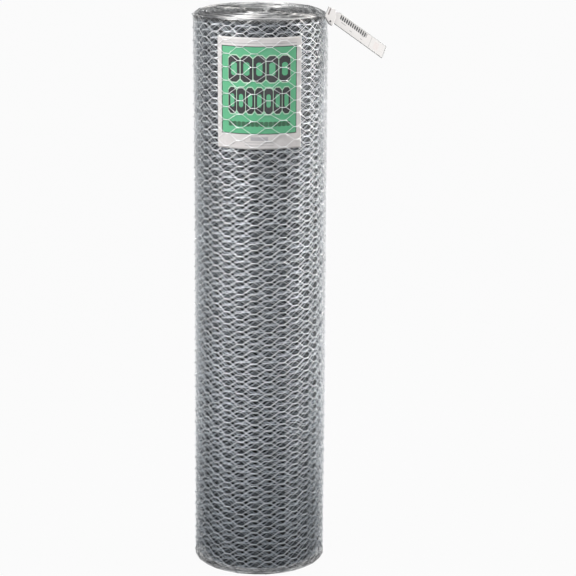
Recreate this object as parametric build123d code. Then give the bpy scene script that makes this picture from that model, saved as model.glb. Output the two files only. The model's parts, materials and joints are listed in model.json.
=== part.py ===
from build123d import *
from math import cos, pi, radians, sin
import os

# A roll of hexagonal wire netting stood on end, with a paper label tucked under its outermost turn
# and a folded strip tag looped over a wire at its right side, near the top.
# Frame: +Z up along the roll's axis, origin on the axis at the floor, the label faces -Y.

# The netting, as wound
roll_width = 1219.0       # width of the netting, so the height of the standing roll
roll_radius = 141.0       # outside of the last turn, at the waist
waist_height = 950.0      # where the roll is slimmest
lower_flare = 4.1         # how much more its radius is at the floor
upper_flare = 1.2         # and at the top
bore_radius = 40.0        # the open middle, where a pole goes through
netting_wire = 0.9        # diameter of one wire
twist_height = 1.8        # two wires twisted together, which is the thickness of one open turn

# The wound edges, as they show on both ends
shown_turns = 10          # ridges from the bore to the outside
groove_depth = 2.4        # depth of the furrow between two ridges
groove_share = 0.45       # part of the pitch that the furrow takes
shoulder_width = 26.0     # the last turns slide down over this width at the top
shoulder_drop = 5.0       # and by this much at the outside

# The paper label
label_width = 188.0       # along the curve
label_height = 231.5
label_thickness = 0.3
label_below_top = 41.5    # from the roll's top edge to the label's
label_clearance = 0.15    # between the paper and the turn behind it
label_margin = 0.6        # from the paper's edge to the end of its seat

# The strip tag, folded over one slanting wire
tag_length = 155.0
tag_width = 33.0
tag_thickness = 0.4
tag_place_angle = 21.5    # where it hangs, in degrees in front of the roll's right side
tag_below_top = 10.5      # from the roll's top edge to the lower corner of the fold
tag_slope = 35.6          # degrees below level
tag_swing = 13.5          # degrees that the strip points behind the roll's right side
tag_lean = 36.5           # degrees that its face is tipped up
tag_clearance = 0.3       # from the fold to the turn that it hangs on, and round the wire
tag_corner = 2.0          # rounding at the far end
corner_trim = 5.5         # cut off the strip's width at the fold
trim_level = 19.0         # how far that narrower width goes along the strip
trim_reach = 28.0         # where the strip has its full width
flap_reach = 23.0         # how far the short front flap comes back over the strip
flap_top_reach = 15.0     # the same along its upper edge
flap_rise = 3.5           # its upper edge climbs by this much from the fold
flap_slant = 13.5         # its far corner is cut off down to this far below the fold's end
tongue_drop = 8.7         # how far the tongue of both layers hangs below the strip
tongue_width = 10.0
tongue_round = 4.0

# The rivet through both tongues
rivet_shank = 1.1         # radius
rivet_head = 1.9          # radius
rivet_head_height = 0.5
rivet_clearance = 0.1
rivet_from_edge = 8.5     # along the strip, back from the flap's end
rivet_below_strip = 1.6


def upper_radius():
    """Outside radius at the top."""
    return roll_radius + upper_flare


def top_of_turn(radius):
    """Height of the netting's upper edge at a radius: level inside, and sliding down at the shoulder."""
    into_shoulder = max(0.0, radius - (upper_radius() - shoulder_width)) / shoulder_width
    return roll_width - shoulder_drop * into_shoulder**2


def wound_end(outer_radius, height_at, groove_side):
    """Points from the bore to the outside along one end: a land for each ridge, a furrow between two."""
    pitch = (outer_radius - bore_radius) / shown_turns
    half_groove = groove_share * pitch / 2
    points = [(bore_radius, height_at(bore_radius))]
    for turn in range(1, shown_turns):
        middle = bore_radius + turn * pitch
        level = height_at(middle)
        points.append((middle - half_groove, level))
        points.append((middle, level - groove_side * groove_depth))
        points.append((middle + half_groove, level))
    points.append((outer_radius, height_at(outer_radius)))
    return points


def label_seat_radius():
    """The turn behind the label, under one open turn of netting."""
    return roll_radius - twist_height


def curved_sheet(inner, outer, bottom, top, width_angle):
    """A piece of a tube's wall, centred on the side that faces -Y."""
    wall = Plane.XZ * Pos((inner + outer) / 2, (bottom + top) / 2) * Rectangle(outer - inner, top - bottom)
    turned = revolve(wall, Axis.Z, revolution_arc=width_angle)
    return Rot(0, 0, -90 - width_angle / 2) * turned


def label_angle(extra=0.0):
    """Degrees that the label covers, with an allowance of so many millimetres at each edge."""
    return (label_width + 2 * extra) / label_seat_radius() * 180 / pi


def netting_roll():
    """The wound netting as one turned solid with its bore, slim waist, furrowed ends and the label's seat."""
    lower = wound_end(roll_radius + lower_flare, lambda radius: 0.0, -1)
    upper = wound_end(upper_radius(), top_of_turn, 1)
    waist = (roll_radius, waist_height)
    outline = [
        Polyline(*reversed(upper), *lower),
        TangentArc(waist, lower[-1], tangent=(0, -1)),
        TangentArc(waist, upper[-1], tangent=(0, 1)),
    ]
    body = revolve(Plane.XZ * make_face(outline), Axis.Z)
    label_top = roll_width - label_below_top
    seat = curved_sheet(
        label_seat_radius(),
        upper_radius() + twist_height,
        label_top - label_height - label_margin,
        label_top + label_margin,
        label_angle(label_margin),
    )
    return body - seat


def paper_label():
    """A sheet of paper bent round the roll, lying on its seat."""
    inner = label_seat_radius() + label_clearance
    label_top = roll_width - label_below_top
    return curved_sheet(inner, inner + label_thickness, label_top - label_height, label_top, label_angle())


def tag_place():
    """The tag's own plane: X along the strip, Y up across it, Z out of its face, origin at the lower
    corner of the back layer where the fold begins."""
    seat = upper_radius() + tag_clearance + fold_radius()
    place, slope, swing, lean = (radians(a) for a in (tag_place_angle, tag_slope, tag_swing, tag_lean))
    corner = (seat * cos(place), -seat * sin(place), roll_width - tag_below_top)
    along = Vector(cos(slope) * cos(swing), cos(slope) * sin(swing), -sin(slope))
    level = Vector(sin(swing), -cos(swing), 0)
    facing = level * cos(lean) + level.cross(along) * sin(lean)
    return Plane(origin=corner, x_dir=along, z_dir=facing)


def fold_gap():
    """The space between the tag's two layers, where the netting's wire lies."""
    return netting_wire + 2 * tag_clearance


def fold_radius():
    """Outside radius of the tag's fold."""
    return fold_gap() / 2 + tag_thickness


def fold_length():
    """The strip's width where it is folded."""
    return tag_width - corner_trim


def tongue_points():
    """The lower edge of both layers, from the end of the flap back to the fold."""
    return (
        (flap_reach, 0),
        (flap_reach, -tongue_drop),
        (flap_reach - tongue_width, -tongue_drop),
        (0, 0),
    )


def rivet_spot():
    """Where the rivet goes through, in the tag's plane."""
    return flap_reach - rivet_from_edge, -rivet_below_strip


def hang_tag():
    """One strip: the long back layer, the fold over the wire and the short front flap, both with a tongue."""
    back_outline = Polyline(
        *tongue_points(),
        (0, fold_length()),
        (trim_level, fold_length()),
        (trim_reach, tag_width),
        (tag_length, tag_width),
        (tag_length, 0),
        close=True,
    )
    back = make_face(back_outline)
    back = fillet(back.vertices().group_by(Axis.Y)[0], tongue_round)
    back = fillet(back.vertices().group_by(Axis.X)[-1], tag_corner)
    lower_edge = fold_gap() / 2
    strip = Pos(0, 0, -lower_edge - tag_thickness) * extrude(back, tag_thickness)

    flap_outline = Polyline(
        *tongue_points(),
        (0, fold_length()),
        (flap_top_reach, fold_length() + flap_rise),
        (flap_reach, fold_length() - flap_slant),
        close=True,
    )
    front = make_face(flap_outline)
    front = fillet(front.vertices().group_by(Axis.Y)[0], tongue_round)
    flap = Pos(0, 0, lower_edge) * extrude(front, tag_thickness)

    ring = Circle(fold_radius()) - Circle(fold_gap() / 2)
    half = ring & Pos(-fold_radius(), 0) * Rectangle(2 * fold_radius(), 4 * fold_radius())
    fold = Rot(-90, 0, 0) * extrude(half, fold_length())

    hole = Pos(*rivet_spot()) * Cylinder(rivet_shank + rivet_clearance, 6 * fold_radius())
    return tag_place() * (strip + flap + fold - hole)


def tag_rivet():
    """A shank through both layers with a flat head on each side."""
    head_from = fold_radius() + rivet_clearance
    shank = Cylinder(rivet_shank, 2 * head_from)
    head = Cylinder(rivet_head, rivet_head_height, align=(Align.CENTER, Align.CENTER, Align.MIN))
    rivet = shank + Pos(0, 0, head_from) * head + Pos(0, 0, -head_from - rivet_head_height) * head
    return tag_place() * Pos(*rivet_spot()) * rivet


os.makedirs("parts", exist_ok=True)
export_step(netting_roll(), "parts/netting_roll.step")
export_step(paper_label(), "parts/paper_label.step")
export_step(hang_tag(), "parts/hang_tag.step")
export_step(tag_rivet(), "parts/tag_rivet.step")
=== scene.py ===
import json
import bpy
import numpy as np
from mathutils import Matrix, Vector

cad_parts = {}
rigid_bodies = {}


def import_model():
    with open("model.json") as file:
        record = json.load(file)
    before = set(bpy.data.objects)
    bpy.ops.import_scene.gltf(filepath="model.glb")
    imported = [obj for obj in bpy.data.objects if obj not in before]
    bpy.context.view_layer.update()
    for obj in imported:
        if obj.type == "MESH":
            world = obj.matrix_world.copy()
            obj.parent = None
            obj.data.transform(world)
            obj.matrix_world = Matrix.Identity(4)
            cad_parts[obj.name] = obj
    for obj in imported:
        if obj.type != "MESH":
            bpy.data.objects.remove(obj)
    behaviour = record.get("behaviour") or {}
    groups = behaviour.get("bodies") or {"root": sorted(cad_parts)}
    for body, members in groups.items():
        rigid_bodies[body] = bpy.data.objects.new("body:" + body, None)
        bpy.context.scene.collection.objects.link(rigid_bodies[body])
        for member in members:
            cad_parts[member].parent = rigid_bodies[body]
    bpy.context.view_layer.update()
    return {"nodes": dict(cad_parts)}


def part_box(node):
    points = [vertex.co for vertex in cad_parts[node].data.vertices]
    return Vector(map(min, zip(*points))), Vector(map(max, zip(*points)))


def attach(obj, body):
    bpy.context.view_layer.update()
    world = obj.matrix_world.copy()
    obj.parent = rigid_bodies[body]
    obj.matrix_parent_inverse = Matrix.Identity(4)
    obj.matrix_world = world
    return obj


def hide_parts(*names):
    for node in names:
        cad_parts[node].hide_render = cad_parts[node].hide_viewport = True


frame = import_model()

# A standing roll of hexagonal wire netting: the outer turns are woven wire, a drum behind them carries
# the look of the deeper ones, both wound edges show every turn, and the label and the tag are paper.
# Places along the netting are (along, up, out): metres wound from the outer end, share of the way between
# the selvages, and height above the turn's own radius. Angles run from the front, -Y, towards +X.

rollLow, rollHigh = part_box("netting_roll")
labelLow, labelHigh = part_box("paper_label")
rollHeight = rollHigh[2] - rollLow[2]

roll = {
    "waistRadius": 0.141,
    "waistHeight": 0.950,
    "upperFlare": 0.0012,      # how much wider the roll is at the top than at the waist
    "footMargin": 0.0007,      # how far its wires keep inside the solid's foot
    "boreRadius": 0.040,
}
lowerFlare = (rollHigh[0] - rollLow[0]) / 2 - roll["waistRadius"] - roll["footMargin"]

netting = {
    "halfRows": 88,            # steps of half a mesh from one selvage to the other
    "columnPitch": 0.0300,     # from one column of twists to the next
    "twistLength": 0.0125,
    "wireRadius": 0.00043,
    "edgeWire": 1.1,           # how much thicker the edge wires are
    "halfTwists": 3,
    "twistBulge": 0.0006,      # how far a twist stands out of the mesh
    "outerBulge": 0.0012,      # and so much more on the outermost turn
    "bulgeFrom": (0.02, 0.3),  # beginning between these shares of the height
    "turnPitch": 0.001256,
    "turns": 80,
    "startAngle": -2.013,      # where the outer end of the netting lies, in radians
    "jitter": 0.0007,          # unevenness of the mesh
    "jitterShares": (1.0, 0.8, 0.25),      # along, up and out
    "drift": 0.0008,           # the rows of one turn wander up and down past those of the next
    "sideDrift": 0.0010,       # and its columns sideways
    "looseness": 0.0013,       # how far the outer turns stand off the others
    "looseRight": 0.9,         # by this share more at the right and less at the left
    "looseFrom": (0.03, 0.35),             # it begins between these shares of the height
    "looseTo": (0.94, 1.0),                # and ends between these
    "looseTurns": (1.6, 4.2),              # and it ends between these turns from the outside
}
woundEdge = {
    "lowMargin": 3.2, "highMargin": 3.0,   # from the solid's ends to the edge wires, in wire radii
    "shoulderDrop": 0.0043,    # the last turns stand lower at the top by this much
    "shoulderWidth": 0.026,
    "waveHeight": 0.0008,      # wander of the edges
    "sink": 0.0130,            # how far the inner turns have sunk below the others at the back
    "sinkTurns": (2.0, 9.0),   # between these turns from the outside that begins
    "easeTurns": (62.0, 72.0), "ease": 0.6,            # and between these it eases by this share
    "groupTurns": 11.3, "fineTurns": 3.7,  # turns that have sunk together, in large and small groups
    "sideDip": 0.0080,         # how far the outer turns have sunk at the two sides
    "dipAngle": 1.6, "dipWidth": 0.42,     # where that is, in radians either way from the front
    "dipTurns": (5.0, 11.0),   # and between these turns it ends
    "endLift": 0.0015,         # how far the loose end stands up
    "endAngle": 0.4, "endWidth": 0.5,      # and where, in radians from the end itself
}
woven = {                      # name: (first turn, turns, sides of a wire, rings in a twist)
    "netting_outer_turn": (0.0, 1.0, 4, 6),
    "netting_second_turn": (1.0, 1.0, 3, 4),
    "netting_third_turn": (2.0, 1.0, 3, 4),
    "netting_inner_turns_a": (3.0, 5.0, 3, 2),
    "netting_inner_turns_b": (8.0, 5.0, 3, 2),
    "netting_inner_turns_c": (13.0, 4.0, 3, 2),
    "netting_bore_turns": (75.0, 5.0, 3, 2),
}
selvages = {                   # name: (first turn, last turn, step in radians, sides of the wire)
    "outer": (0.0, 6.0, 0.06, 4),
    "inner": (6.0, netting["turns"], 0.13, 3),
}
wovenTurns = 17                # as many turns from the outside are woven over their whole height
boreTurn = 75                  # and from this one on, next to the bore
turnRadius = roll["waistRadius"] - 2 * netting["wireRadius"]
rowStep = rollHeight / netting["halfRows"]
random = np.random.default_rng(7)

label = {
    "seatRadius": 0.13965,     # of the sheet as the solid has it
    "radius": 0.13895,         # of its middle surface, under one open turn
    "flareShare": 0.6,         # how much of the roll's flare it follows
    "thickness": 0.0003,
    "ripple": 0.00008,
    "columns": 97, "rows": 61,             # of the grid that it is made on
    "rightTrim": 0.021,        # its right edge is crumpled back by this angle
    "soften": 0.030,           # width over which the turns behind sink to make room
    "press": 0.0016,           # how far they do
    "lift": 0.0006,            # how far it lifts the turn that crosses it
    "hollow": 0.0030,          # the turns behind stand back further between its upper edge and the rim
    "hollowFrom": (-0.006, 0.004),         # beginning between these heights from its upper edge
    "hollowTo": (-0.024, -0.010),          # and ending between these from the rim
    "hollowTurns": (8.0, 16.0),            # and between these turns from the outside
}
labelHalfAngle = np.arcsin((labelHigh[0] - labelLow[0]) / 2 / label["seatRadius"])

tag = {
    "length": 0.155, "width": 0.033, "thickness": 0.0004,
    "placeAngle": np.radians(21.5), "belowTop": 0.0105,
    "slope": np.radians(35.6), "swing": np.radians(13.5), "lean": np.radians(36.5),
    "seat": 0.14365,           # from the roll's axis to the middle of the fold
    "gapRadius": 0.00095,      # of the fold, to the middle of the sheet
    "foldLength": 0.0275, "trimLevel": 0.019, "trimReach": 0.028,
    "flapReach": 0.023, "flapTopReach": 0.015, "flapRise": 0.0035, "flapSlant": 0.0135,
    "tongueDrop": 0.0087, "tongueWidth": 0.010, "tongueRound": 0.004,
    "farRound": 0.002,
    "bow": -0.0006, "flapBow": 0.0002,     # how far the strip's and the flap's free ends stand off
    "pull": 0.0031,            # how far it pulls the netting's outermost wires out
    "pullShift": 0.003,        # the middle of that, up and round from the fold's lower corner
    "pullWidth": 0.020,
}


def spiral(along):
    # The wound line: with p the pitch and R the first radius, the angle t solves along = R t - p t^2 / 4 pi,
    # and the radius there is R - p t / 2 pi.
    p = netting["turnPitch"]
    radius = np.sqrt(np.maximum(turnRadius**2 - p * along / np.pi, 1e-6))
    angle = (turnRadius - radius) * 2 * np.pi / p
    return angle, radius


def woundLength(angle):
    # Metres wound from the outer end to an angle: R t - p t^2 / 4 pi.
    return turnRadius * angle - netting["turnPitch"] * angle**2 / (4 * np.pi)


def alongAt(turn):
    # The same to the end of so many turns.
    return woundLength(2 * np.pi * turn)


def smoothStep(value, low, high):
    # Nought below the low value and one above the high one, with 3 s^2 - 2 s^3 between them.
    s = np.clip((value - low) / (high - low), 0, 1)
    return s * s * (3 - 2 * s)


def flare(z):
    # How much wider the roll is at a height than at its waist: by the square of the way to either end.
    below = lowerFlare * ((roll["waistHeight"] - z) / roll["waistHeight"]) ** 2
    above = roll["upperFlare"] * ((z - roll["waistHeight"]) / (rollHigh[2] - roll["waistHeight"])) ** 2
    return np.where(z < roll["waistHeight"], below, above)


def wander(angle, seed):
    # A smooth unevenness between -1 and 1: sines round the roll whose counts share no multiple.
    total = np.zeros_like(angle)
    for count, share in ((2.83, 0.25), (1.09, 0.35), (0.47, 0.4)):
        total = total + share * np.sin(count * angle + seed * (1 + 7 * count))
    return total


def edges(angle, radius):
    # Heights of the lower and upper selvage. The upper one sinks by the square of the way into the shoulder,
    # groups of inner turns have sunk, more at the back than at the front, the outer ones dip at the sides,
    # and the loose end stands up a little.
    wire, wave, width = netting["wireRadius"], woundEdge["waveHeight"], woundEdge["shoulderWidth"]
    turns = angle / (2 * np.pi)
    facing = netting["startAngle"] + angle
    into = np.clip((radius - (turnRadius - width)) / width, 0, 1)
    group = 0.5 + 0.5 * np.sin(2 * np.pi * turns / woundEdge["groupTurns"] + 1.2 * np.sin(facing) + 0.7)
    fine = 0.5 + 0.5 * np.sin(2 * np.pi * turns / woundEdge["fineTurns"] + 0.9 * np.sin(2 * facing + 1))
    inner = smoothStep(turns, *woundEdge["sinkTurns"])
    inner = inner * (1 - woundEdge["ease"] * smoothStep(turns, *woundEdge["easeTurns"]))
    atBack = 0.12 + 0.44 * (1 - np.cos(facing + 0.4))
    sunk = woundEdge["sink"] * inner * atBack * (0.3 + 0.45 * group + 0.25 * fine)
    atSide = np.abs(np.mod(facing + np.pi, 2 * np.pi) - np.pi) - woundEdge["dipAngle"]
    dip = np.exp(-((atSide / woundEdge["dipWidth"]) ** 2)) * (1 - smoothStep(turns, *woundEdge["dipTurns"]))
    sunk = sunk + woundEdge["sideDip"] * dip
    loose = woundEdge["endLift"] * np.exp(-((angle - woundEdge["endAngle"]) / woundEdge["endWidth"]) ** 2)
    low = rollLow[2] + woundEdge["lowMargin"] * wire + wave * (1 + wander(angle, 1.0))
    high = rollHigh[2] - woundEdge["highMargin"] * wire - woundEdge["shoulderDrop"] * into**2
    return low, high - wave * (1 + wander(angle, 2.0)) - sunk + loose


def press(turns, facing, z):
    # How far the wires stand off their own radius: the turns behind the label are pressed in, fully under it
    # and up to the rim and fading at its sides and foot, the turn that crosses it is lifted, the outer
    # turns stand loose above their foot, most at the right, and the tag pulls the first out to its fold.
    side = np.abs(facing) * roll["waistRadius"] - labelHalfAngle * roll["waistRadius"]
    across = 1 - smoothStep(side, 0.0, label["soften"])
    inside = across * smoothStep(z, labelLow[2] - label["soften"], labelLow[2])
    above = across * smoothStep(z, *(labelHigh[2] + np.array(label["hollowFrom"])))
    above = above * (1 - smoothStep(z, *(rollHigh[2] + np.array(label["hollowTo"]))))
    behind = smoothStep(turns, 0.6, 1.0)
    hollow = label["hollow"] * above * (1 - smoothStep(turns, *label["hollowTurns"]))
    shift = -behind * (label["press"] * inside + hollow) + (1 - behind) * label["lift"] * inside
    tagSide = (facing - (np.pi / 2 - tag["placeAngle"])) * roll["waistRadius"] - tag["pullShift"]
    tagRise = z - (rollHigh[2] - tag["belowTop"]) - tag["pullShift"]
    near = np.exp(-(tagSide**2 + tagRise**2) / tag["pullWidth"] ** 2) * (1 - smoothStep(turns, 0.8, 1.2))
    up = (z - rollLow[2]) / rollHeight
    loose = netting["looseness"] * (1 + netting["looseRight"] * np.sin(facing))
    loose = loose * smoothStep(up, *netting["looseFrom"]) * (1 - smoothStep(up, *netting["looseTo"]))
    loose = loose * smoothStep(turns, 0.0, 0.06) * (1 - smoothStep(turns, *netting["looseTurns"]))
    return shift + tag["pull"] * near + loose * (1 - behind * inside)


def driftUp(angle, up):
    # The rows' wander: three waves that run round the roll and up it, fading out at the selvages.
    fade = smoothStep(np.minimum(up, 1 - up), 0.02, 0.16)
    waves = 0.5 * np.sin(1.618 * angle + 8.2 * up + 1.0) + 0.3 * np.sin(0.73 * angle - 13.2 * up)
    return netting["drift"] * fade * (waves + 0.2 * np.sin(2.9 * angle + 29.5 * up))


def driftRound(angle, up):
    # The columns' wander, as an angle: two such waves.
    waves = 0.6 * np.sin(2.31 * angle + 7.0 * up) + 0.4 * np.sin(0.91 * angle + 17.0 * up + 2)
    return netting["sideDrift"] / roll["waistRadius"] * waves


def place(local):
    # Points (along, up, out) to the world: up is a share of the way between the selvages.
    along, up, out = local[..., 0], local[..., 1], local[..., 2]
    angle, radius = spiral(along)
    low, high = edges(angle, radius)
    z = low + (high - low) * up + driftUp(angle, up)
    turn = netting["startAngle"] + angle + driftRound(angle, up)
    front = np.mod(turn + np.pi, 2 * np.pi) - np.pi
    share = np.clip((radius - roll["boreRadius"]) / (turnRadius - roll["boreRadius"]), 0, 1)
    r = radius + out + flare(z) * share + press(angle / (2 * np.pi), front, z)
    return np.stack([r * np.sin(turn), -r * np.cos(turn), z], axis=-1)


def makeMesh(name, points, polygons, material, uv=None, smooth=True):
    # One object from points and a list of index arrays, each of polygons with the same number of corners.
    mesh = bpy.data.meshes.new(name)
    loops = np.concatenate([np.asarray(p).reshape(-1) for p in polygons]).astype(np.int32)
    counts = np.concatenate([np.full(len(p), np.asarray(p).shape[1]) for p in polygons]).astype(np.int32)
    starts = np.concatenate([[0], np.cumsum(counts)[:-1]]).astype(np.int32)
    mesh.vertices.add(len(points))
    mesh.vertices.foreach_set("co", np.asarray(points, np.float32).reshape(-1))
    mesh.loops.add(len(loops))
    mesh.loops.foreach_set("vertex_index", loops)
    mesh.polygons.add(len(counts))
    mesh.polygons.foreach_set("loop_start", starts)
    mesh.polygons.foreach_set("loop_total", counts)
    mesh.polygons.foreach_set("use_smooth", np.full(len(counts), smooth))
    if uv is not None:
        layer = mesh.uv_layers.new(name="Unrolled")
        layer.data.foreach_set("uv", np.asarray(uv, np.float32)[loops].reshape(-1))
    mesh.update(calc_edges=True)
    mesh.validate()
    mesh.materials.append(material)
    piece = bpy.data.objects.new(name, mesh)
    bpy.context.scene.collection.objects.link(piece)
    return piece


def ringsRound(centres, tangents, radius, sides):
    # A ring of points about each centre: cos a times the outward direction made square to the wire,
    # plus sin a times the wire's direction crossed with it.
    out = np.zeros_like(centres)
    out[..., 2] = 1.0
    t = tangents / np.linalg.norm(tangents, axis=-1, keepdims=True)
    first = out - t * np.sum(out * t, axis=-1, keepdims=True)
    first /= np.linalg.norm(first, axis=-1, keepdims=True)
    second = np.cross(t, first)
    a = 2 * np.pi * (np.arange(sides) + 0.5) / sides
    spread = np.cos(a)[:, None] * first[..., None, :] + np.sin(a)[:, None] * second[..., None, :]
    return centres[..., None, :] + radius * spread


def tubeFaces(rings, sides):
    # Quads between neighbouring rings of each row of ring numbers, with corners in the order that faces out.
    a, b = rings[:, :-1].reshape(-1, 1), rings[:, 1:].reshape(-1, 1)
    q = np.arange(sides)[None, :]
    r = (q + 1) % sides
    return np.stack([a * sides + q, a * sides + r, b * sides + r, b * sides + q], axis=-1).reshape(-1, 4)


def capFaces(rings, sides, atEnd):
    # One polygon that closes each ring in a row.
    q = np.arange(sides) if atEnd else np.arange(sides)[::-1]
    return rings.reshape(-1, 1) * sides + q[None, :]


def wireTubes(name, centres, tangents, rows, starts, ends, sides, thickness, material):
    # Tubes along rows of ring numbers, closed at their first and last rings, and carried to the roll.
    # Centres are in metres along, up and out. The map across is (turn, share of the way up).
    local = ringsRound(centres, tangents, thickness, sides)
    local[..., 1] /= rollHeight
    caps = np.concatenate([capFaces(starts, sides, False), capFaces(ends, sides, True)])
    turns = spiral(local[..., 0])[0] / (2 * np.pi)
    uv = np.stack([turns.reshape(-1), local[..., 1].reshape(-1)], axis=-1)
    return makeMesh(name, place(local).reshape(-1, 3), [tubeFaces(rows, sides), caps], material, uv)


def strandPlan(column):
    # For each of the wires between two columns: the side it comes from (-1 from below), the twist's level in
    # half rows, whether it hooks round a selvage there, and the wire's place after it.
    i = np.arange(netting["halfRows"])
    rises = (i + column) % 2 == 1
    comes = np.where(rises, -1, 1)
    level = i + (1 - comes) // 2
    hooked = (level == 0) | (level == netting["halfRows"])
    leaves = np.where(hooked, comes, -comes)
    return comes, level, hooked, level + (leaves - 1) // 2


plans = [strandPlan(0), strandPlan(1)]
comesTable = np.stack([plans[0][0], plans[1][0]])
afterTable = np.stack([plans[0][3], plans[1][3]])
lastColumn = int(alongAt(netting["turns"]) / netting["columnPitch"]) + 2
unevenness = random.normal(0, 1, (lastColumn + 2, netting["halfRows"] + 1, 3)).astype(np.float32)


def columnPath(columns, rings):
    # Centre lines through the twists of some columns: along the twist the wire circles its axis, with up
    # = w cos a and out = w sin a, a running over the half twists. At a selvage it circles the edge wire.
    w = netting["wireRadius"]
    path = np.zeros((len(columns), netting["halfRows"], rings, 3))
    share = np.linspace(0, 1, rings)
    for odd in (0, 1):
        chosen = np.nonzero(columns % 2 == odd)[0]
        comes, level, hooked, _ = plans[odd]
        turns = np.where(hooked, 2 * np.ceil(netting["halfTwists"] / 2), netting["halfTwists"])
        orbit = np.where(hooked, 2 * w, w)[:, None]
        a = np.where(comes > 0, 0, np.pi)[:, None] + np.pi * turns[:, None] * share[None, :]
        wobble = unevenness[columns[chosen]][:, level] * netting["jitter"] * np.array(netting["jitterShares"])
        wobble[:, hooked] = 0
        along = columns[chosen][:, None, None] * netting["columnPitch"]
        aboveFoot = smoothStep(level / netting["halfRows"], *netting["bulgeFrom"])[None, :, None]
        bulge = netting["twistBulge"] + netting["outerBulge"] * (along < alongAt(1.0)) * aboveFoot
        path[chosen, :, :, 0] = along + (share - 0.5) * netting["twistLength"] + wobble[..., 0:1]
        path[chosen, :, :, 1] = level[None, :, None] * rowStep + (orbit * np.cos(a))[None] + wobble[..., 1:2]
        path[chosen, :, :, 2] = (orbit * np.sin(a))[None] + wobble[..., 2:3] + bulge * np.sin(np.pi * share)
    return path


def strandLines(firstTurn, turns, rings):
    # Ring centres and directions of every wire in a run of columns and the column after it, and where each
    # wire goes next. A direction is the way from the ring before to the ring after.
    pitch = netting["columnPitch"]
    first = int(np.ceil(alongAt(firstTurn) / pitch))
    last = int(np.ceil(alongAt(firstTurn + turns) / pitch)) - 1
    columns = np.arange(first, last + 2)
    path = columnPath(columns, rings)
    after = afterTable[columns[:-1] % 2]
    rowIndex = np.arange(len(columns) - 1)[:, None]
    nextStart = np.concatenate([path[rowIndex + 1, after, 0], path[-1:, :, -1]])
    entry = np.zeros(path[:, :, 0].shape)
    entry[..., 0] = pitch - netting["twistLength"]
    entry[..., 1] = -comesTable[columns % 2] * rowStep
    ahead = np.concatenate([path[:, :, 1:], nextStart[:, :, None]], axis=2)
    behind = np.concatenate([(path[:, :, 0] - entry)[:, :, None], path[:, :, :-1]], axis=2)
    return path, ahead - behind, after, rowIndex


def wovenRun(name, firstTurn, turns, sides, rings, material):
    # A run of netting: every wire passes from column to column, rising or falling half a row between them.
    path, directions, after, rowIndex = strandLines(firstTurn, turns, rings)
    columns, wires = len(path) - 1, netting["halfRows"]
    centres = np.concatenate([path[:-1].reshape(-1, 3), path[-1, :, 0]])
    tangents = np.concatenate([directions[:-1].reshape(-1, 3), directions[-1, :, 0]])
    number = np.arange(columns * wires * rings).reshape(columns, wires, rings)
    tail = columns * wires * rings + np.arange(wires)
    nextRing = np.concatenate([number[1:, :, 0], tail[None]])[rowIndex, after]
    rows = np.concatenate([number, nextRing[..., None]], axis=2).reshape(-1, rings + 1)
    starts = number[0, :, 0]
    return wireTubes(name, centres, tangents, rows, starts, tail, sides, netting["wireRadius"], material)


def edgeRun(name, firstTurn, turns, wires, material):
    # Only the wires next to a selvage, each from one column to the next as a tube of its own: its rings and
    # the first one of the wire that it becomes.
    path, directions, after, rowIndex = strandLines(firstTurn, turns, 3)
    centres, tangents = (
        np.concatenate([rings[:-1], rings[rowIndex + 1, after, 0][:, :, None]], axis=2)[:, wires]
        for rings in (path, directions)
    )
    number = np.arange(centres.shape[0] * centres.shape[1] * 4).reshape(-1, 4)
    return wireTubes(name, centres.reshape(-1, 3), tangents.reshape(-1, 3), number, number[:, 0],
                     number[:, 3], 3, netting["wireRadius"], material)


def selvage(name, atTop, fromTurn, toTurn, stepAngle, sides, material):
    # The edge wire, a little thicker than the others, as one tube along the spiral.
    begin, end = 2 * np.pi * fromTurn, 2 * np.pi * toTurn
    along = woundLength(np.linspace(begin, end, int((end - begin) / stepAngle) + 1))
    level = np.full_like(along, float(atTop) * rollHeight)
    centres = np.stack([along, level, np.zeros_like(along)], axis=-1)
    tangents = np.tile([1.0, 0.0, 0.0], (len(along), 1))
    rows = np.arange(len(along))[None, :]
    return wireTubes(name, centres, tangents, rows, rows[:, :1], rows[:, -1:], sides,
                     netting["wireRadius"] * netting["edgeWire"], material)


def turned(name, outline, steps, material):
    # A closed outline of (radius, height) points turned about the axis: x = r sin a, y = -r cos a.
    outline = np.asarray(outline)
    a = 2 * np.pi * np.arange(steps) / steps
    r, z = outline[None, :, 0], outline[None, :, 1]
    points = np.stack([r * np.sin(a)[:, None], -r * np.cos(a)[:, None], z + 0 * a[:, None]], axis=-1)
    count = len(outline)
    i, j = np.meshgrid(np.arange(steps), np.arange(count), indexing="ij")
    i2, j2 = (i + 1) % steps, (j + 1) % count
    faces = np.stack([i * count + j, i2 * count + j, i2 * count + j2, i * count + j2], axis=-1).reshape(-1, 4)
    return makeMesh(name, points.reshape(-1, 3), [faces], material, smooth=False)


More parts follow.
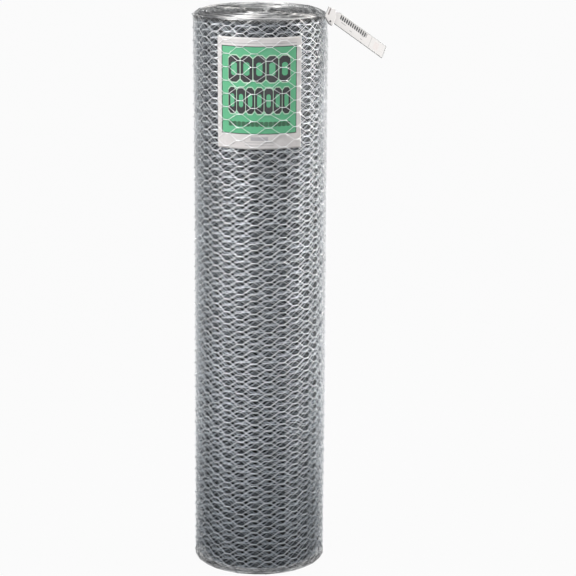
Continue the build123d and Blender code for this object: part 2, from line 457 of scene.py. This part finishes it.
def closedSheet(name, middle, normals, thickness, uv, backShift, material):
    # A sheet on a grid of points with its thickness: the grid moved half of it each way along the normals,
    # joined round the rim. The back's UV may be moved aside, so that print shows on the front only.
    rows, cols = middle.shape[:2]
    front = (middle + normals * thickness / 2).reshape(-1, 3)
    back = (middle - normals * thickness / 2).reshape(-1, 3)
    n = rows * cols
    grid = np.arange(n).reshape(rows, cols)
    quad = np.stack([grid[:-1, :-1], grid[:-1, 1:], grid[1:, 1:], grid[1:, :-1]], axis=-1).reshape(-1, 4)
    rim = np.concatenate([grid[0, :-1], grid[:-1, -1], grid[-1, :0:-1], grid[:0:-1, 0]])
    nxt = np.roll(rim, -1)
    edge = np.stack([rim, rim + n, nxt + n, nxt], axis=-1)
    flatUv = uv.reshape(-1, 2)
    allUv = np.concatenate([flatUv, flatUv + np.array([backShift, 0.0])])
    return makeMesh(name, np.concatenate([front, back]), [quad, quad[:, ::-1] + n, edge], material, allUv)


class Nodes:
    # Short words for building a material's node tree. An input goes by its name, or as i and its number.
    def __init__(self, name):
        self.material = bpy.data.materials.new(name)
        self.material.use_nodes = True
        self.tree = self.material.node_tree
        self.shader = self.tree.nodes["Principled BSDF"]

    def node(self, kind, **inputs):
        made = self.tree.nodes.new(kind)
        for key, value in inputs.items():
            numbered = key[0] == "i" and key[1:].isdigit()
            self.feed(made.inputs[int(key[1:]) if numbered else key], value)
        return made

    def feed(self, socket, value):
        if isinstance(value, bpy.types.NodeSocket):
            self.tree.links.new(value, socket)
        else:
            socket.default_value = value

    def math(self, operation, a, b=0.0, c=0.0):
        made = self.node("ShaderNodeMath", i0=a, i1=b, i2=c)
        made.operation = operation
        return made.outputs[0]

    def mix(self, factor, a, b, blend="MIX"):
        made = self.tree.nodes.new("ShaderNodeMix")
        made.data_type = "RGBA"
        made.blend_type = blend
        for socket, value in ((made.inputs["Factor"], factor), (made.inputs[6], a), (made.inputs[7], b)):
            self.feed(socket, value)
        return made.outputs[2]

    def ramp(self, value, stops):
        made = self.node("ShaderNodeValToRGB", i0=value)
        first, last = made.color_ramp.elements[0], made.color_ramp.elements[1]
        first.position, first.color = stops[0]
        last.position, last.color = stops[-1]
        for position, colour in stops[1:-1]:
            made.color_ramp.elements.new(position).color = colour
        return made.outputs[0]

    def uv(self, scale=1.0):
        split = self.node("ShaderNodeSeparateXYZ", Vector=self.node("ShaderNodeUVMap").outputs[0])
        return self.math("MULTIPLY", split.outputs[0], scale), self.math("MULTIPLY", split.outputs[1], scale)

    def objectPlace(self):
        return self.node("ShaderNodeTexCoord").outputs["Object"]

    def noise(self, vector, scale, detailLevel=3.0, roughness=0.55):
        made = self.node("ShaderNodeTexNoise", Vector=vector, Scale=scale, Detail=detailLevel,
                         Roughness=roughness)
        return made.outputs["Fac"]

    def link(self, value, socket):
        self.tree.links.new(value, self.shader.inputs[socket])

    def bump(self, height, strength, distance):
        made = self.node("ShaderNodeBump", Height=height, Strength=strength, Distance=distance)
        self.link(made.outputs[0], "Normal")


def grey(value, warm=0.0):
    # A grey that leans towards red where warm is above nought, and towards blue where it is below.
    return (value * (1 + warm), value, value * (1 - warm), 1.0)


zinc = {
    "bright": grey(0.97, -0.008),
    "dull": grey(0.84, -0.004),
    "metal": 0.85,
    "roughness": 0.24, "roughnessSpread": 0.25,
    "bump": 0.25, "bumpDepth": 0.0002,
    "cloudScale": 18.0,        # patches in a metre
    "spangleScale": 260.0,
    "cloudShare": 0.6,         # of the patches in the mixture, the rest being spangle
    "depthTurns": 20.0,        # turns from the outside or the bore over which the painted shade of depth runs
    # painted shade: the deeper a turn lies from the outside or the bore, the darker and bluer it is painted
    "paintedDepthShade": [(0.0, grey(1.0)), (0.05, grey(0.98, -0.005)), (0.12, grey(0.89, -0.03)),
                    (0.25, grey(0.71, -0.06)), (0.4, grey(0.34, -0.08)), (0.85, grey(0.03))],
    # painted shade: darker and bluer towards the foot, and a little darker at the top, where less light falls
    "paintedHeightShade": [(0.0, grey(0.57, -0.035)), (0.1, grey(0.63, -0.035)), (0.2, grey(0.80, -0.025)),
                     (0.32, grey(0.94, -0.015)), (0.5, grey(1.0, -0.005)), (0.7, grey(0.97)),
                     (1.0, grey(0.90))],
    "bandCount": 14.0,         # faint bands in the height of the roll
    "bands": [(0.35, grey(0.90)), (0.65, grey(1.0))],
    "edgeFrom": 0.4895,        # the wound edges begin this share of the height from its middle
    "edgeBlend": 0.006,
    "edgeShades": [(0.37, grey(0.14)), (0.5, grey(0.60, 0.01)), (0.62, grey(1.0, 0.03))],
    "streakTurns": 0.22, "streakRound": 2.6, "streakScale": 1.1,   # light and dark streaks along the wound edges
    # painted shade: the wound edges darker towards the two sides of the roll, left and right of the front
    "paintedSideShade": [(0.35, grey(1.0)), (0.75, grey(0.50))],
}


def zincMaterial():
    # Hot-dipped zinc: soft cloudy patches and fine spangle between a bright and a dull grey. Painted shade
    # makes the turns that lie deeper and towards the foot darker and bluer; it lifts round the bore and at
    # the wound edges, which carry light and dark streaks and a painted shade towards the two sides.
    m = Nodes("galvanised_zinc")
    where = m.objectPlace()
    cloud = m.noise(where, zinc["cloudScale"], 4.0)
    fine = m.noise(where, zinc["spangleScale"], 2.0)
    share = zinc["cloudShare"]
    both = m.math("ADD", m.math("MULTIPLY", cloud, share), m.math("MULTIPLY", fine, 1 - share))
    coatAndShade = m.ramp(both, [(0.38, zinc["dull"]), (0.62, zinc["bright"])])
    turn, up = m.uv()
    deep = m.math("MINIMUM", turn, m.math("SUBTRACT", netting["turns"], turn))
    # painted shade of the turns that lie deeper
    shade = m.ramp(m.math("DIVIDE", deep, zinc["depthTurns"]), zinc["paintedDepthShade"])
    fromMiddle = m.math("ABSOLUTE", m.math("SUBTRACT", up, 0.5))
    edge = m.math("DIVIDE", m.math("SUBTRACT", fromMiddle, zinc["edgeFrom"]), zinc["edgeBlend"])
    edge = m.math("MINIMUM", m.math("MAXIMUM", edge, 0.0), 1.0)
    fullTurn = m.math("MULTIPLY", turn, 2 * np.pi)
    wide = zinc["streakRound"]
    streak = m.node("ShaderNodeCombineXYZ", X=m.math("MULTIPLY", turn, zinc["streakTurns"]),
                    Y=m.math("MULTIPLY", m.math("SINE", fullTurn), wide),
                    Z=m.math("MULTIPLY", m.math("COSINE", fullTurn), wide)).outputs[0]
    # light and dark streaks along the wound edges, times a painted shade towards the two sides
    toneAndShade = m.ramp(m.noise(streak, zinc["streakScale"], 3.0), zinc["edgeShades"])
    toSide = m.math("ABSOLUTE", m.math("SINE", m.math("ADD", fullTurn, netting["startAngle"])))
    toneAndShade = m.mix(1.0, toneAndShade, m.ramp(toSide, zinc["paintedSideShade"]), "MULTIPLY")
    height = m.node("ShaderNodeCombineXYZ", X=m.math("MULTIPLY", up, zinc["bandCount"])).outputs[0]
    coatAndShade = m.mix(1.0, coatAndShade, m.ramp(m.noise(height, 1.0, 3.0), zinc["bands"]), "MULTIPLY")
    # painted shade towards the foot
    coatAndShade = m.mix(1.0, coatAndShade, m.ramp(up, zinc["paintedHeightShade"]), "MULTIPLY")
    m.link(m.mix(1.0, coatAndShade, m.mix(edge, shade, toneAndShade), "MULTIPLY"), "Base Color")
    m.link(m.math("MULTIPLY_ADD", fine, zinc["roughnessSpread"], zinc["roughness"]), "Roughness")
    m.shader.inputs["Metallic"].default_value = zinc["metal"]
    m.bump(fine, zinc["bump"], zinc["bumpDepth"])
    return m.material


drum = {
    "depth": (wovenTurns + 0.6) * netting["turnPitch"],
    "inner": roll["boreRadius"] + (netting["turns"] - boreTurn + 0.6) * netting["turnPitch"],
    "below": 0.006,            # from the solid's ends to the drum's
    "belowTop": 0.016,
    "flareShare": 0.8,         # how much of the roll's flare it follows
    "steps": 12,               # in its height
    "sides": 128,
    "layers": ((0.0, 30.0, 0.0, 0.55), (0.37, 29.0, 0.4, 0.5), (0.71, 31.0, 0.75, 0.4)),
    "lineWidth": 0.0007,       # half of a painted wire's
    # painted shade of the deep turns: near black to dim grey
    "paintedShadeGreys": [(0.0, grey(0.02)), (0.6, grey(0.22))],
}


def drumMaterial():
    # The turns too deep to build, in painted shade: woven layers of dim grey wire lines on a near-black
    # ground, from the height and the angle of each point. A layer is (shift round, columns, shift up,
    # strength).
    m = Nodes("deep_netting")
    where = m.objectPlace()
    split = m.node("ShaderNodeSeparateXYZ", Vector=where)
    x, y, z = split.outputs[0], split.outputs[1], split.outputs[2]
    angle = m.math("ARCTAN2", x, y)
    total = None
    for shift, columns, rise, strength in drum["layers"]:
        turn = m.math("MULTIPLY_ADD", angle, columns / (2 * np.pi) / 2, shift)
        fold = m.math("MULTIPLY", m.math("PINGPONG", turn, 0.5), 2.0)
        swing = m.math("MULTIPLY_ADD", fold, 2.0, rise - 0.5)
        swing = m.math("MINIMUM", m.math("MAXIMUM", swing, rise), 1.0 + rise)
        for side in (1.0, -1.0):
            wave = m.math("MULTIPLY_ADD", swing, side * rowStep, z)
            near = m.math("PINGPONG", wave, rowStep)
            line = m.math("MULTIPLY", m.math("LESS_THAN", near, drum["lineWidth"]), strength)
            total = line if total is None else m.math("MAXIMUM", total, line)
    cloud = m.noise(where, 60.0, 3.0)
    shade = m.math("MULTIPLY", total, m.math("MULTIPLY_ADD", cloud, 0.8, 0.5))
    # painted shade: the deep turns' lines stay dim on a near-black ground
    m.link(m.ramp(shade, drum["paintedShadeGreys"]), "Base Color")
    m.shader.inputs["Roughness"].default_value = 0.6
    m.bump(total, 0.5, 0.0006)
    return m.material


print("scene: materials")
zincLook = zincMaterial()
drumLook = drumMaterial()

print("scene: woven turns")
rollPieces = []
for name, (firstTurn, turns, sides, rings) in woven.items():
    rollPieces.append(wovenRun(name, firstTurn, turns, sides, rings, zincLook))

print("scene: wound edges")
lastWire = netting["halfRows"]
edgeWires = {"top": np.arange(lastWire - 2, lastWire), "bottom": np.arange(0, 1)}
for end, wires in edgeWires.items():
    atTop = end == "top"
    rollPieces.append(edgeRun(f"netting_{end}_edge", wovenTurns, boreTurn - wovenTurns, wires, zincLook))
    for part, run in selvages.items():
        rollPieces.append(selvage(f"selvage_{end}_{part}", atTop, *run, zincLook))

print("scene: drum")
drumHeights = np.linspace(rollLow[2] + drum["below"], rollHigh[2] - drum["belowTop"], drum["steps"])
drumRadii = turnRadius - drum["depth"] + flare(drumHeights) * drum["flareShare"]
drumOutline = [(drum["inner"], drumHeights[0]), *zip(drumRadii, drumHeights),
               (drum["inner"], drumHeights[-1])]
rollPieces.append(turned("netting_core", drumOutline, drum["sides"], drumLook))
for piece in rollPieces:
    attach(piece, "root")
    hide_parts("netting_roll")

print("scene: label")
labelHeight = labelHigh[2] - labelLow[2]
labelWidth = 2 * labelHalfAngle * label["seatRadius"]
toMillimetres = 1000.0
printing = {                   # sizes in millimetres from the middle of the lower edge
    "paper": (0.56, 0.535, 0.526, 1.0),
    "green": (0.094, 0.360, 0.190, 1.0),
    "ink": (0.018, 0.018, 0.02, 1.0),
    "greyInk": (0.36, 0.35, 0.36, 1.0),
    "halo": (0.42, 0.60, 0.45, 1.0),
    "darkGreen": (0.03, 0.10, 0.05, 1.0),
    "fibreScale": 90.0,
    "roughness": 0.32, "roughnessSpread": 0.2,
    "patches": (               # (colour, left, right, low, high), each over those before it
        ("ink", -83.6, 82.3, 31.5, 213.5),
        ("green", -81.9, 80.6, 33.2, 211.8),
        ("greyInk", -82.3, 82.3, 218.4, 219.7),
        ("greyInk", -18.5, 18.5, 18.0, 26.0),
        ("greyInk", -30.0, 30.0, 13.4, 14.6),
        ("greyInk", -30.0, 30.0, 7.4, 8.6),
    ),
    "cellRows": ((139.5, 194.0, 5), (74.0, 128.5, 7)),             # (low, high, cells)
    "cellsReach": 68.0,
    "smallCells": (-67.0, 67.0, 47.5, 58.0, 14),                   # (left, right, low, high, cells)
    "cellWidth": 0.94,         # share of its pitch that a cell takes
    "cellHole": 0.5,           # share of a cell that stays open
    "cellHalo": 1.08,          # and how far its pale rim reaches
}


def box2d(m, u, v, left, right, low, high):
    # One inside the rectangle and nought outside it.
    du = m.math("ABSOLUTE", m.math("SUBTRACT", u, (left + right) / 2))
    dv = m.math("ABSOLUTE", m.math("SUBTRACT", v, (low + high) / 2))
    inU = m.math("LESS_THAN", du, (right - left) / 2)
    return m.math("MULTIPLY", inU, m.math("LESS_THAN", dv, (high - low) / 2))


def paintPatches(m, u, v, colour, colours, patches):
    # Plain rectangles, one over the other.
    for name, left, right, low, high in patches:
        colour = m.mix(box2d(m, u, v, left, right, low, high), colour, colours[name])
    return colour


def hexRow(m, u, v, left, right, low, high, count, ring):
    # A row of tall hexagons: with a and b the shares of the way from a cell's middle to its sides and its
    # ends, its size there is the greatest of a, b and 0.35 a + 0.85 b. The shapes are where that stays
    # under one, under the ring's share and under the halo's.
    pitch = (right - left) / count
    local = m.math("SUBTRACT", m.math("MODULO", m.math("SUBTRACT", u, left), pitch), pitch / 2)
    au = m.math("DIVIDE", m.math("ABSOLUTE", local), pitch / 2 * printing["cellWidth"])
    av = m.math("DIVIDE", m.math("ABSOLUTE", m.math("SUBTRACT", v, (low + high) / 2)), (high - low) / 2)
    slant = m.math("ADD", m.math("MULTIPLY", au, 0.35), m.math("MULTIPLY", av, 0.85))
    size = m.math("MAXIMUM", m.math("MAXIMUM", au, slant), av)
    row = box2d(m, u, v, left, right, low - 4, high + 4)
    limits = (1.0, ring, printing["cellHalo"])
    return [m.math("MULTIPLY", m.math("LESS_THAN", size, limit), row) for limit in limits]


def labelMaterial():
    # Coated paper printed with a green panel in a thin dark frame, two rows of black mesh cells and rules.
    m = Nodes("label_paper")
    u, v = m.uv(toMillimetres)
    colour = paintPatches(m, u, v, printing["paper"], printing, printing["patches"])
    reach, hole = printing["cellsReach"], printing["cellHole"]
    for low, high, count in printing["cellRows"]:
        outer, inner, halo = hexRow(m, u, v, -reach, reach, low, high, count, hole)
        colour = m.mix(halo, colour, printing["halo"])
        colour = m.mix(outer, colour, printing["ink"])
        colour = m.mix(inner, colour, printing["green"])
    colour = m.mix(hexRow(m, u, v, *printing["smallCells"], hole)[0], colour, printing["darkGreen"])
    fibre = m.noise(m.objectPlace(), printing["fibreScale"], 4.0)
    toneAndShade = m.ramp(fibre, [(0.3, grey(0.93)), (0.7, grey(1.0))])
    m.link(m.mix(1.0, colour, toneAndShade, "MULTIPLY"), "Base Color")
    m.link(m.math("MULTIPLY_ADD", fibre, printing["roughnessSpread"], printing["roughness"]), "Roughness")
    m.bump(fibre, 0.15, 0.0003)
    return m.material


# The label's sheet: an arc in front of the turns behind it, with a ripple of crossed sines
across, upward = np.meshgrid(np.linspace(-0.5, 0.5, label["columns"]), np.linspace(0, 1, label["rows"]),
                             indexing="ij")
labelAngle = across * (2 * labelHalfAngle - label["rightTrim"]) - label["rightTrim"] / 2
labelZ = labelLow[2] + upward * labelHeight
ripple = label["ripple"] * (np.sin(23 * labelAngle + 4 * upward) * np.sin(9 * upward + 5 * labelAngle + 1))
labelR = label["radius"] + label["flareShare"] * flare(labelZ) + ripple
outward = np.stack([np.sin(labelAngle), -np.cos(labelAngle), 0 * labelAngle], axis=-1)
labelMiddle = outward * labelR[..., None]
labelMiddle[..., 2] = labelZ
labelUv = np.stack([across * labelWidth, upward * labelHeight], axis=-1)
plainBack = 2.0                # metres that the back's UV is moved aside, off the print
labelPiece = closedSheet("printed_label", labelMiddle, outward, label["thickness"], labelUv, plainBack,
                         labelMaterial())
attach(labelPiece, "root")
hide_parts("paper_label")

print("scene: tag")
tagPrint = {                   # sizes in millimetres from the fold's lower corner
    "white": (0.50, 0.483, 0.475, 1.0),
    "pale": (0.31, 0.31, 0.305, 1.0),
    "dark": (0.02, 0.02, 0.022, 1.0),
    "mark": (0.24, 0.23, 0.23, 1.0),
    "block": (0.50, 0.46, 0.45, 1.0),
    "foldShade": (0.14, 0.12, 0.12, 1.0),
    "fibreScale": 120.0,
    "roughness": 0.35, "roughnessSpread": 0.2,
    "patches": (               # (colour, left, right, low, high), each over those before it
        ("white", 0.0, 153.0, 1.6, 31.6),
        ("white", -30.0, 0.0, -20.0, 40.0),
        ("mark", 39, 51, 13.5, 15.3),
        ("mark", 63, 69, 8.5, 10.3),
        ("mark", 92, 99, 17, 19),
        ("mark", 92, 97, 8, 10),
        ("pale", 115.5, 116.7, 2.0, 31.0),
        ("block", 126.0, 138.0, 8.0, 26.0),
        # painted shade: a dark stripe on the flap along the fold
        ("foldShade", -6.6, -3.2, 9.5, 26.5),
    ),
    "heading": (33.0, 104.0, 19.5, 30.5),  # a row of marks, with their pitch and their width
    "headingPitch": 5.4, "headingMark": 4.0,
}


def tagMaterial():
    # Coated strip with a row of generic dark marks, small grey ones, a pale border, a faint cross line and a
    # painted shade on the flap along the fold.
    m = Nodes("tag_paper")
    u, v = m.uv(toMillimetres)
    colour = paintPatches(m, u, v, tagPrint["pale"], tagPrint, tagPrint["patches"])
    marks = m.math("LESS_THAN", m.math("MODULO", u, tagPrint["headingPitch"]), tagPrint["headingMark"])
    heading = m.math("MULTIPLY", box2d(m, u, v, *tagPrint["heading"]), marks)
    m.link(m.mix(heading, colour, tagPrint["dark"]), "Base Color")
    fibre = m.noise(m.objectPlace(), tagPrint["fibreScale"], 3.0)
    m.link(m.math("MULTIPLY_ADD", fibre, tagPrint["roughnessSpread"], tagPrint["roughness"]), "Roughness")
    m.bump(fibre, 0.1, 0.0002)
    return m.material


def lowerEdge(u):
    # The tongue: it slants down from the fold, runs level, and ends upright with a rounded corner.
    slant = -tag["tongueDrop"] * np.clip(u / (tag["flapReach"] - tag["tongueWidth"]), 0, 1)
    intoRound = np.clip((u - (tag["flapReach"] - tag["tongueRound"])) / tag["tongueRound"], 0, 1)
    return np.where(u <= tag["flapReach"], slant + tag["tongueRound"] * (1 - np.sqrt(1 - intoRound**2)), 0.0)


def tagSurface():
    # The strip as a path carried across its width, which differs along it: the flap back from its end to the
    # fold, a half circle round the wire, and the long strip, bowed by the square of its length.
    b = np.linspace(0, 1, 15)[None, :]
    f, top = tag["flapReach"], tag["foldLength"]
    roundFrom = f - tag["tongueRound"]
    a = np.concatenate([np.linspace(f, roundFrom, 6), np.linspace(roundFrom, 0, 12)[1:]])
    rise = tag["flapRise"] * np.minimum(a / tag["flapTopReach"], 1)
    slant = smoothStep(a, tag["flapTopReach"], 2 * f - tag["flapTopReach"]) * 2
    cut = (tag["flapRise"] + tag["flapSlant"]) * slant
    low = lowerEdge(a)
    flap = np.stack([a[:, None] + 0 * b, low[:, None] + b * (top + rise - cut - low)[:, None],
                     tag["gapRadius"] + tag["flapBow"] * (a[:, None] / f) ** 2 + 0 * b], axis=-1)
    t = np.linspace(0, np.pi, 11)[1:-1, None]
    fold = np.stack([-tag["gapRadius"] * np.sin(t) + 0 * b, b * top + 0 * t,
                     tag["gapRadius"] * np.cos(t) + 0 * b], axis=-1)
    foldNormal = np.stack([-np.sin(t) + 0 * b, 0 * t + 0 * b, np.cos(t) + 0 * b], axis=-1)
    far = tag["length"] - tag["farRound"]
    hair, step = 0.00001, 0.001            # just past the tongue's upright end, and on along the strip
    s = np.concatenate([np.linspace(0, f, 24), [f + hair], np.linspace(f + step, far, 30),
                        far + tag["farRound"] * np.sin(np.linspace(0, np.pi / 2, 6)[1:])])
    corner = tag["farRound"] * (1 - np.sqrt(1 - np.clip((s - far) / tag["farRound"], 0, 1) ** 2))
    low = lowerEdge(s) + corner
    full = np.clip((s - tag["trimLevel"]) / (tag["trimReach"] - tag["trimLevel"]), 0, 1)
    high = top + (tag["width"] - top) * full - corner
    bow = tag["bow"] * (s / tag["length"]) ** 2
    strip = np.stack([s[:, None] + 0 * b, low[:, None] + b * (high - low)[:, None],
                      -tag["gapRadius"] + bow[:, None] + 0 * b], axis=-1)
    local = np.concatenate([flap, fold, strip])
    ends = np.tile([0.0, 0.0, 1.0], (1, b.shape[1], 1))
    normal = np.concatenate([np.repeat(ends, len(a), 0), foldNormal, -np.repeat(ends, len(s), 0)])
    length = np.concatenate([-a, 0 * t[:, 0], s])[:, None] + 0 * b
    return local, normal, np.stack([length, local[..., 1]], axis=-1)


# The tag's own directions: along the strip, out of its face and up across it
slope, swing, lean = tag["slope"], tag["swing"], tag["lean"]
tagAlong = np.array([np.cos(slope) * np.cos(swing), np.cos(slope) * np.sin(swing), -np.sin(slope)])
tagLevel = np.array([np.sin(swing), -np.cos(swing), 0.0])
tagFacing = tagLevel * np.cos(lean) + np.cross(tagLevel, tagAlong) * np.sin(lean)
tagAxes = np.stack([tagAlong, np.cross(tagFacing, tagAlong), tagFacing])
foldCorner = np.array([tag["seat"] * np.cos(tag["placeAngle"]), -tag["seat"] * np.sin(tag["placeAngle"]),
                       rollHigh[2] - tag["belowTop"]])
tagLocal, tagNormal, tagUv = tagSurface()
tagPiece = closedSheet("strip_tag", foldCorner + tagLocal @ tagAxes, tagNormal @ tagAxes, tag["thickness"],
                       tagUv, 0.0, tagMaterial())
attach(tagPiece, "root")
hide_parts("hang_tag")


def rivetMaterial():
    # Satin black with a little unevenness.
    m = Nodes("dark_rivet")
    shade = m.noise(m.objectPlace(), 900.0)
    m.link(m.ramp(shade, [(0.3, grey(0.012)), (0.7, grey(0.03))]), "Base Color")
    m.shader.inputs["Roughness"].default_value = 0.4
    return m.material


print("scene: rivet")
rivetLook = rivetMaterial()
for node in frame["nodes"].values():
    if node.name.startswith("tag_rivet"):
        for slotIndex in range(max(1, len(node.material_slots))):
            if not node.material_slots:
                node.data.materials.append(rivetLook)
            node.material_slots[slotIndex].material = rivetLook

print("scene: floor, light and camera")
stage = {
    "floor": (0.10, 0.10, 0.10, 1.0),
    "floorReach": 12.0,        # half of the floor's width
    "whiteShare": 0.96,        # how much of the floor is seen as white
    "ambient": 0.32,           # strength of the sky that lights the roll
    "coolSky": (0.94, 0.975, 1.0, 1.0),
    "seenSky": (0.965, 0.965, 0.965, 1.0),
    "spread": np.radians(50),  # of the lamps' light
}


def floorMaterial():
    # A pale floor that the camera sees as near white, while it keeps the roll's soft shadow.
    m = Nodes("pale_floor")
    m.shader.inputs["Base Color"].default_value = stage["floor"]
    m.shader.inputs["Roughness"].default_value = 0.9
    light = m.node("ShaderNodeEmission", Color=(1.0, 1.0, 1.0, 1.0), Strength=1.0)
    seen = m.node("ShaderNodeLightPath")
    ray = m.math("MAXIMUM", seen.outputs["Is Camera Ray"], seen.outputs["Is Glossy Ray"])
    ray = m.math("MAXIMUM", ray, seen.outputs["Is Transmission Ray"])
    blend = m.node("ShaderNodeMixShader", i0=m.math("MULTIPLY", ray, stage["whiteShare"]),
                   i1=m.shader.outputs[0], i2=light.outputs[0])
    m.tree.links.new(blend.outputs[0], m.tree.nodes["Material Output"].inputs["Surface"])
    return m.material


floorPoints = np.array([(-1, -1, 0), (1, -1, 0), (1, 1, 0), (-1, 1, 0)], float) * stage["floorReach"]
floor = makeMesh("floor", floorPoints, [np.array([[0, 1, 2, 3]])], floorMaterial(), smooth=False)

world = bpy.data.worlds.new("studio")
bpy.context.scene.world = world
world.use_nodes = True
worldNodes, worldLinks = world.node_tree.nodes, world.node_tree.links
background = worldNodes["Background"]
rays = worldNodes.new("ShaderNodeLightPath")
tint = worldNodes.new("ShaderNodeMix")
tint.data_type = "RGBA"
tint.inputs[6].default_value = stage["coolSky"]
tint.inputs[7].default_value = stage["seenSky"]
worldLinks.new(rays.outputs["Is Camera Ray"], tint.inputs["Factor"])
worldLinks.new(tint.outputs[2], background.inputs["Color"])
whiteRay = rays.outputs["Is Camera Ray"]
for kind in ("Is Glossy Ray", "Is Transmission Ray"):
    either = worldNodes.new("ShaderNodeMath")
    either.operation = "MAXIMUM"
    worldLinks.new(whiteRay, either.inputs[0])
    worldLinks.new(rays.outputs[kind], either.inputs[1])
    whiteRay = either.outputs[0]
strength = worldNodes.new("ShaderNodeMapRange")
strength.inputs["To Min"].default_value = stage["ambient"]
strength.inputs["To Max"].default_value = 1.0
worldLinks.new(whiteRay, strength.inputs["Value"])
worldLinks.new(strength.outputs["Result"], background.inputs["Strength"])

lamps = {                      # name: (place, aimed at, size, power, colour)
    "left": ((-2.4, -2.0, 2.4), (0, 0, 1.15), 0.8, 11.2, (1.0, 1.0, 1.0)),
    "right": ((2.8, 0.6, 1.8), (0, 0, 1.15), 0.8, 11.4, (1.0, 0.985, 0.96)),
    "top": ((-0.3, -0.4, 3.2), (0, 0, 1.1), 0.8, 0.8, (1.0, 0.98, 0.965)),
    "front": ((0.9, -3.0, 1.4), (0, 0, 1.0), 0.8, 1.6, (0.97, 0.985, 1.0)),
    "back": ((0.2, 3.1, 0.8), (0, 0, 0.6), 0.8, 6.0, (1.0, 1.0, 1.0)),
}
for name, (spot, aim, size, power, colour) in lamps.items():
    lamp = bpy.data.lights.new(name, "AREA")
    lamp.size = size
    lamp.energy = power
    lamp.spread = stage["spread"]
    lamp.color = colour
    holder = bpy.data.objects.new(name, lamp)
    toward = np.array(aim, float) - np.array(spot, float)
    back = -toward / np.linalg.norm(toward)
    right = np.cross((0, 0, 1), back)
    right /= np.linalg.norm(right)
    up = np.cross(back, right)
    rows = [[right[i], up[i], back[i], spot[i]] for i in range(3)]
    holder.matrix_world = Matrix(rows + [[0, 0, 0, 1]])
    bpy.context.scene.collection.objects.link(holder)

cameraPlan = {
    "distance": 4.15734, "height": 1.76206,
    "pitch": 0.26993, "yaw": 0.01476, "roll": 0.00548,
    "focalPixels": 1983.905, "imagePixels": 576,
}
pitch, yaw, rollAngle = cameraPlan["pitch"], cameraPlan["yaw"], cameraPlan["roll"]
ahead = np.array([np.sin(yaw) * np.cos(pitch), np.cos(yaw) * np.cos(pitch), -np.sin(pitch)])
level = np.array([np.cos(yaw), -np.sin(yaw), 0.0])
upright = np.cross(level, ahead)
right = np.cos(rollAngle) * level + np.sin(rollAngle) * upright
upright = -np.sin(rollAngle) * level + np.cos(rollAngle) * upright
cameraSpot = (0.0, -cameraPlan["distance"], cameraPlan["height"])
cameraData = bpy.data.cameras.new("camera")
cameraData.sensor_width = 36.0
cameraData.lens = cameraPlan["focalPixels"] / cameraPlan["imagePixels"] * cameraData.sensor_width
cameraData.clip_end = 60.0
camera = bpy.data.objects.new("camera", cameraData)
cameraRows = [[right[i], upright[i], -ahead[i], cameraSpot[i]] for i in range(3)]
camera.matrix_world = Matrix(cameraRows + [[0, 0, 0, 1]])
bpy.context.scene.collection.objects.link(camera)
bpy.context.scene.camera = camera
bpy.context.scene.view_settings.view_transform = "Standard"

triangles = {}
for piece in bpy.context.scene.objects:
    if piece.type == "MESH" and not piece.hide_render:
        triangles[piece.name] = int(sum(len(p.vertices) - 2 for p in piece.data.polygons))
print("scene: triangles", triangles, sum(triangles.values()))
